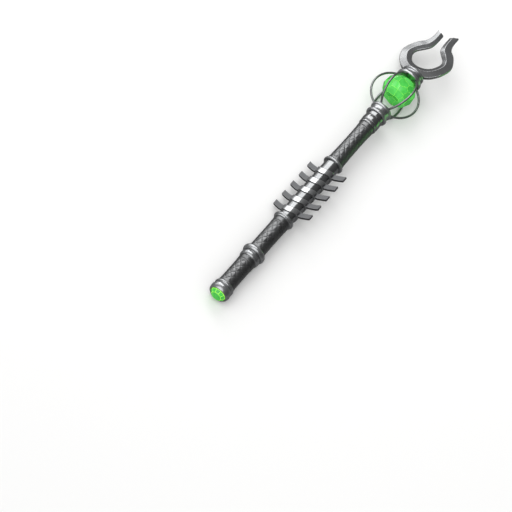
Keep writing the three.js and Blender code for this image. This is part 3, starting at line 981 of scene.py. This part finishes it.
@dataclass
class Ribs:
    """The ribs of the sleeve: a band that dips at front and back, and a wing swept up at either side, one
    steel with painted light on the band and painted shade on the wings.
    """

    count: int = 5
    first: float = 301.5
    pitch: float = 34
    bore: float = 20.3
    band_radius: float = 22.8
    band_height: float = 14.4
    half_span: float = 51.5
    wing_height: float = 14
    wing_thickness: float = 6.4
    wing_root: float = 21.4
    wing_steps: int = 14
    wing_margin: float = 0.1
    tip_rise: float = 7.5
    band_dip: float = 10
    sweep_power: float = 1.6
    easing: float = 0.7
    bulge: float = 0.3
    hold: float = 0.6

    def sweep(self, place: Vector) -> Vector:
        """Bends a straight rib to its swept form.

        Args:
            place: point of the straight rib.

        Returns:
            The point after bending.
        """
        outward = max(0.0, (abs(place.x) - self.band_radius) / (self.half_span - self.band_radius))
        rise = self.tip_rise * outward**self.sweep_power - self.band_dip * (place.y / self.band_radius) ** 2
        return place + UP * rise

    def _band(self) -> Shape:
        """The band round the sleeve, straight.

        Returns:
            The band.
        """
        half = self.band_height / 2
        rim = self.band_radius
        bulge = self.bulge * self.easing
        upper = [
            (rim, half - self.easing - self.hold), (rim, half - self.easing), (rim - bulge, half - bulge),
            (rim - self.easing, half), (self.bore, half),
        ]
        section = [(radius, -z) for radius, z in reversed(upper)] + upper
        shape = Shape()
        angles = round_angles(FINE_SIDES)
        rows = [[shape.bm.verts.new(off_axis(r, a, z)) for r, z in section] for a in angles]
        for row, following in zip(rows, rows[1:] + rows[:1]):
            for i in range(len(section)):
                j = (i + 1) % len(section)
                shape.bm.faces.new((row[i], following[i], following[j], row[j]))
        return shape

    def _wing(self, side: int) -> Shape:
        """One wing, straight, with eased edges.

        Args:
            side: 1 for the right, -1 for the left.

        Returns:
            The wing.
        """
        shape = Shape()
        bm = shape.bm
        bmesh.ops.create_cube(bm, size=1)
        size = Vector((self.half_span - self.wing_root, self.wing_thickness, self.wing_height))
        bmesh.ops.scale(bm, vec=size, verts=bm.verts)
        shape.move(Vector((self.wing_root + size.x / 2, 0, 0)))
        bmesh.ops.bevel(bm, geom=list(bm.edges), offset=self.easing, segments=3, profile=0.5, affect="EDGES")
        inset = self.easing + self.hold
        cuts = [(x, 0, 0) for x in np.linspace(self.wing_root, self.half_span - inset, self.wing_steps)[1:]]
        cuts += [(0, way * (size.y / 2 - inset), 0) for way in (-1, 1)]
        cuts += [(0, 0, way * (size.z / 2 - inset)) for way in (-1, 1)]
        for cut in cuts:
            shape.split(cut, Vector(cut).normalized())
        return shape.map(lambda p: Vector((side * p.x, p.y, p.z)))

    def _joined(self) -> Mesh:
        """One rib, band and wings joined into a single body and swept.

        Returns:
            The rib, round its own middle.
        """
        objects = []
        for number, shape in enumerate((self._band(), self._wing(-1), self._wing(1))):
            name = f"rib_part_{number}"
            objects.append(add_object(name, shape.map(self.sweep).mesh(name)))
        band = objects[0]
        for wing in objects[1:]:
            union = band.modifiers.new("join", "BOOLEAN")
            union.operation = "UNION"
            union.solver = "EXACT"
            union.object = wing
        graph = bpy.context.evaluated_depsgraph_get()
        joined = bpy.data.meshes.new_from_object(band.evaluated_get(graph))
        for obj in objects:
            bpy.data.objects.remove(obj)
        return joined

    def build(self, finishes: Finishes) -> None:
        """Builds every rib.

        Args:
            finishes: the staff's materials.
        """
        joined = self._joined()
        # Painted light and shade: the band takes the lighter copy of the steel and the wings the darker one.
        materials = [finishes.band, finishes.shaded_satin]
        for number in range(self.count):
            shape = Shape()
            shape.bm.from_mesh(joined)
            shape.move(UP * (self.first + number * self.pitch))
            for face in shape.bm.faces:
                reach = face.calc_center_median().xy.length
                face.material_index = int(reach > self.band_radius + self.wing_margin)
            name = f"rib_{number + 1}"
            shape.piece(name + "_forged", [name], Slot.POLISHED, materials, sharp_deg=14)
        bpy.data.meshes.remove(joined)


@dataclass
class GlobeCage:
    """The globe of bent wires round the large stone."""

    count: int = 6
    wire: float = 2.65
    radius: float = 59.8
    half_height: float = 55.8
    sides: int = 20
    steps: int = 72

    def _wire(self, heading: float) -> Shape:
        """One wire, from collar to collar.

        Args:
            heading: angle round the axis at which it stands.

        Returns:
            The wire.
        """
        middle = (Station.CAGE + Station.UPPER_COLLAR) / 2
        reach = (Station.UPPER_COLLAR - Station.CAGE) / 2 + self.wire
        last = math.asin(min(1, reach / self.half_height))
        outward = Vector(off_axis(1, heading, 0))
        aside = UP.cross(outward)
        turns = round_angles(self.sides)
        rings = []
        for angle in np.linspace(-last, last, self.steps + 1):
            out, rise = math.cos(angle), math.sin(angle)
            centre = outward * self.radius * out + UP * (middle + self.half_height * rise)
            normal = (outward * out / self.radius + UP * (rise / self.half_height)).normalized()
            rings.append([centre + self.wire * (normal * math.cos(t) + aside * math.sin(t)) for t in turns])
        shape = Shape()
        shape.skin(rings)
        shape.cut(UP * (Station.CAGE + SEAM), -UP)
        return shape.cut(UP * Station.UPPER_COLLAR, UP).rest_on_floor()

    def build(self, finishes: Finishes) -> None:
        """Builds the wires.

        Args:
            finishes: the staff's materials.
        """
        for number in range(self.count):
            name = f"cage_wire_{number + 1}"
            shape = self._wire(2 * math.pi * (number + 0.5) / self.count)
            shape.piece(name + "_bent", [name], Slot.POLISHED, [finishes.wire])


@dataclass
class ForkHead:
    """The two-pronged head: a ridged bar between matching points of its outer and inner edges.

    The points run along one half, from the bowl to the tip. A share is a part of a side of the section.
    """

    outer: tuple[Point, ...] = (
        (0, -1), (33, 1.5), (57.5, 22), (68, 46), (65.5, 65), (52, 88), (36.5, 102), (29.3, 118),
        (28.3, 143),
    )
    inner: tuple[Point, ...] = (
        (0, 23.2), (15.5, 25.4), (29, 33.5), (39.2, 51), (36, 65), (22.5, 78.5), (12.6, 90.5), (9.2, 108),
        (9, 133.5),
    )
    steps: int = 72
    ridge_place: float = 0.4
    ridge_at_bowl: float = 6.6
    ridge_at_tip: float = 4.6
    edge: float = 2.6
    foot_edge: float = 5.6
    foot_reach: float = 0.3
    easing: float = 0.9
    easing_share: float = 0.4
    hold: float = 0.7
    hold_share: float = 0.45
    shares: tuple[float, ...] = (0, 0.33, 0.67, 1)

    def _along(self, half: Sequence[Point], share: float) -> Vector:
        """Point of an edge, from one tip (0) through the bowl to the other (1).

        Args:
            half: points of one half, from the bowl to the tip.
            share: place along the whole edge.

        Returns:
            The point in the plane of the fork.
        """
        points = [Vector((-x, z)) for x, z in reversed(half[1:])] + [Vector(p) for p in half]
        place = share * (len(points) - 1)
        i = min(int(place), len(points) - 2)
        t = place - i
        p1, p2 = points[i], points[i + 1]
        p0 = points[i - 1] if i > 0 else p1
        p3 = points[i + 2] if i + 2 < len(points) else p2
        v0, v1 = (p2 - p0) / 2, (p3 - p1) / 2
        return (2 * p1 - 2 * p2 + v0 + v1) * t**3 + (-3 * p1 + 3 * p2 - 2 * v0 - v1) * t**2 + v0 * t + p1

    def _reach(self, corner: Vector, side: Vector) -> tuple[Vector, Vector]:
        """Where the rounding of a corner ends on one side, and the point that keeps the facet flat.

        Args:
            corner: the corner.
            side: the way from it to the next corner.

        Returns:
            Both points.
        """
        rounding = min(self.easing, side.length * self.easing_share)
        holding = min(self.easing + self.hold, side.length * self.hold_share)
        return corner + side.normalized() * rounding, corner + side.normalized() * holding

    def _section(self, share: float) -> list[Vector]:
        """Eased six-cornered section of the bar.

        Args:
            share: place along the fork.

        Returns:
            The section's points.
        """
        to_tip = abs(2 * share - 1)
        near_foot = max(0.0, 1 - to_tip / self.foot_reach)
        outside = self._along(self.outer, share)
        inside = self._along(self.inner, share)
        crest = inside.lerp(outside, self.ridge_place)
        ridge = self.ridge_at_bowl + (self.ridge_at_tip - self.ridge_at_bowl) * to_tip
        outer_edge = self.edge + (self.foot_edge - self.edge) * near_foot
        half = [(inside, self.edge), (crest, ridge), (outside, outer_edge)]
        corners = [Vector((p.x, -depth, p.y)) for p, depth in half]
        corners += [Vector((p.x, depth, p.y)) for p, depth in reversed(half)]
        ring = []
        for i, corner in enumerate(corners):
            start, held_before = self._reach(corner, corners[i - 1] - corner)
            end, held_after = self._reach(corner, corners[(i + 1) % len(corners)] - corner)
            ring += [held_before, *eased(start, corner, end, self.shares), held_after]
        return ring

    def build(self, finishes: Finishes) -> None:
        """Builds the fork.

        Args:
            finishes: the staff's materials.
        """
        shape = Shape()
        shape.skin([self._section(share) for share in np.linspace(0, 1, 2 * self.steps + 1)])
        shape.cut(UP * SEAM, -UP)
        shape.move(UP * Station.FORK)
        shape.piece(FORK_PIECE, ["fork_head"], Slot.POLISHED, [finishes.fork], sharp_deg=45)


@dataclass(frozen=True)
class PhotoView:
    """The photograph's view, and where the staff lies in its frame.

    The staff leans away from the picture's plane by the tilt, foot towards the viewer, who stands beside
    it on its right. The mark is a station that shows at mark_pixel. A pixel is as large at the staff as
    given in metres, and the lens is long because the drawing has no foreshortening.
    """

    tilt_deg: float = 30
    side_deg: float = 2.5
    slant_deg: float = 48.3
    pixel: float = 0.0023
    lens: float = 800
    sensor: float = 36
    image: int = 512
    mark: float = 23
    mark_pixel: Point = (221.7, 289.8)

    def build(self) -> None:
        """Places the camera."""
        tilt, beside, slant = (math.radians(v) for v in (self.tilt_deg, self.side_deg, self.slant_deg))
        front = math.cos(beside) * AXES.rise + math.sin(beside) * AXES.side
        towards = math.cos(tilt) * front - math.sin(tilt) * AXES.along
        drawn_axis = math.cos(tilt) * AXES.along + math.sin(tilt) * front
        drawn_side = drawn_axis.cross(towards)
        right = math.cos(slant) * drawn_axis + math.sin(slant) * drawn_side
        up = math.sin(slant) * drawn_axis - math.cos(slant) * drawn_side
        half = self.image / 2
        shift = (half - self.mark_pixel[0]) * right + (self.mark_pixel[1] - half) * up
        target = AXES.point(self.mark) + self.pixel * shift
        distance = self.image * self.pixel * self.lens / self.sensor
        data = bpy.data.cameras.new("photo_view")
        data.sensor_width = self.sensor
        data.lens = self.lens
        data.clip_end = 4 * distance
        camera = add_object("photo_view", data)
        camera.matrix_world = placed(target + towards * distance, right, up, towards)
        bpy.context.scene.camera = camera


@dataclass(frozen=True)
class SoftBox:
    """One soft studio light.

    Attributes:
        name: name of the light.
        place: where it hangs, in metres.
        aim: the point that it faces.
        size: its length along the staff and its width.
        radiance: brightness of its face.
        on_floor: whether it lights the floor too.
        colour: its colour.
        seen: whether the camera sees its face.
        flagged: piece that it is shaded from, if any.
    """

    name: str
    place: Point3
    aim: Point3
    size: Point
    radiance: float
    on_floor: bool = False
    colour: Point3 = (1, 1, 1)
    seen: bool = True
    flagged: str = ""

    def build(self) -> None:
        """Hangs the light with its length along the staff."""
        data = bpy.data.lights.new(self.name, "AREA")
        data.shape = "RECTANGLE"
        data.size, data.size_y = self.size
        data.energy = math.pi * self.size[0] * self.size[1] * self.radiance
        data.color = self.colour
        light = add_object(self.name, data)
        light.visible_diffuse = self.on_floor
        light.visible_camera = self.seen
        back = (Vector(self.place) - Vector(self.aim)).normalized()
        along_staff = Vector((1, 0, 0))
        length = (along_staff - along_staff.dot(back) * back).normalized()
        light.matrix_world = placed(Vector(self.place), length, back.cross(length), back)
        if self.flagged:
            shaded = bpy.data.collections.new(self.name + "_flag")
            shaded.objects.link(bpy.data.objects[self.flagged])
            shaded.collection_objects[0].light_linking.link_state = "EXCLUDE"
            light.light_linking.receiver_collection = shaded


KEY_LEFT = SoftBox(
    "key_left", (0.76, 1.03, 1.27), (-0.15, 0, 0.04), (0.7, 1.7), 2.6, on_floor=True, flagged=FORK_PIECE,
)
FORK_LEFT = SoftBox("fork_left", (1.33, 1.45, 0.48), (1.33, 0, 0.43), (0.75, 0.53), 2.9)
RIM_LEFT = SoftBox("rim_left", (0.5, 1.45, 0.3), (0.5, 0, 0.25), (0.9, 0.6), 1.2, flagged=FORK_PIECE)
STONE_GLOW = SoftBox(
    "stone_glow", (0.42, -0.3, 0.07), (0.42, 0, 0.05), (0.36, 0.13), 0.8, colour=(0.25, 1, 0.2), seen=False,
)


@dataclass
class Studio:
    """Pale floor, soft light and a dim surround for the polished steel to mirror."""

    floor_size: float = 60
    floor_tone: Tone = (0.87, 0.87, 0.865, 1)
    floor_cloud: Tone = (0.89, 0.89, 0.885, 1)
    # Painted shade: the floor's tone in what the steel mirrors, darker than the floor itself.
    floor_mirrored_shade: Tone = (0.2, 0.2, 0.2, 1)
    surround_span: Point = (-0.8, 0.9)
    surround_right: float = 0.1
    surround_left: float = 0.38
    ambient: Tone = (0.72, 0.72, 0.72, 1)
    surround_seen: Tone = (0.86, 0.86, 0.86, 1)
    boxes: tuple[SoftBox, ...] = (KEY_LEFT, FORK_LEFT, RIM_LEFT, STONE_GLOW)
    wash_from: Point3 = (-0.5, 0.3, 0.8)
    wash_strength: float = 1.3
    wash_spread_deg: float = 70

    def _floor_material(self) -> Material:
        """Pale matt floor, with painted shade in what the polished steel mirrors: a darker tone for every
        ray but the camera's.

        Returns:
            The material.
        """
        material, n, shader = new_material("pale_floor")
        clouds = n.add("TexNoise", {"Scale": 3.0, "Detail": 3.0}).outputs["Fac"]
        tone = n.blend(clouds, self.floor_tone, self.floor_cloud)
        seen = n.blend(n.add("LightPath").outputs["Is Camera Ray"], self.floor_mirrored_shade, tone)
        n.feed(shader, {"Base Color": seen, "Roughness": 0.8, "Specular IOR Level": 0.1})
        return material

    def _world(self) -> World:
        """A surround that is lighter on the staff's left, and pale where the camera sees it.

        Returns:
            The world.
        """
        world = bpy.data.worlds.new("studio")
        world.use_nodes = True
        n = Nodes(world.node_tree)
        heading = n.add("TexCoord").outputs["Generated"]
        sideways = n.add("SeparateXYZ", {"Vector": heading}).outputs["Y"]
        tone = n.remap(sideways, self.surround_span, (self.surround_right, self.surround_left))
        path = n.add("LightPath").outputs
        even = n.blend(path["Is Diffuse Ray"], tone, self.ambient)
        seen = n.blend(path["Is Camera Ray"], even, self.surround_seen)
        n.feed(world.node_tree.nodes["Background"], {"Color": seen})
        return world

    def _wash(self) -> None:
        """Hangs the broad, even light that keeps the floor pale."""
        data = bpy.data.lights.new("floor_wash", "SUN")
        data.energy = self.wash_strength
        data.angle = math.radians(self.wash_spread_deg)
        light = add_object("floor_wash", data)
        light.rotation_euler = (-Vector(self.wash_from)).to_track_quat("-Z", "Y").to_euler()

    def build(self) -> None:
        """Lays the floor and hangs the lights."""
        half = self.floor_size / 2
        corners = [(-half, -half, 0), (half, -half, 0), (half, half, 0), (-half, half, 0)]
        mesh = bpy.data.meshes.new("floor")
        mesh.from_pydata(corners, [], [(0, 1, 2, 3)])
        mesh.materials.append(self._floor_material())
        floor = add_object("floor", mesh)
        bpy.context.scene.world = self._world()
        for box in self.boxes:
            box.build()
        self._wash()
        bpy.context.scene.view_settings.view_transform = "Standard"


def main() -> None:
    """Builds the staff from the foot to the head, then the studio round it."""
    logging.basicConfig(level=logging.INFO, format="%(name)s: %(message)s")
    PhotoView().build()
    finishes = Finishes()
    cap, *others = fittings()
    cap.build(finishes)
    CutStone("pommel_gem", seam=0.55).build(finishes)
    for piece in (*TUBES, *others):
        piece.build(finishes)
    Ribs().build(finishes)
    GlobeCage().build(finishes)
    CutStone("cage_gem", seam=1.35).build(finishes)
    ForkHead().build(finishes)
    Studio().build()


if __name__ == "__main__":
    main()
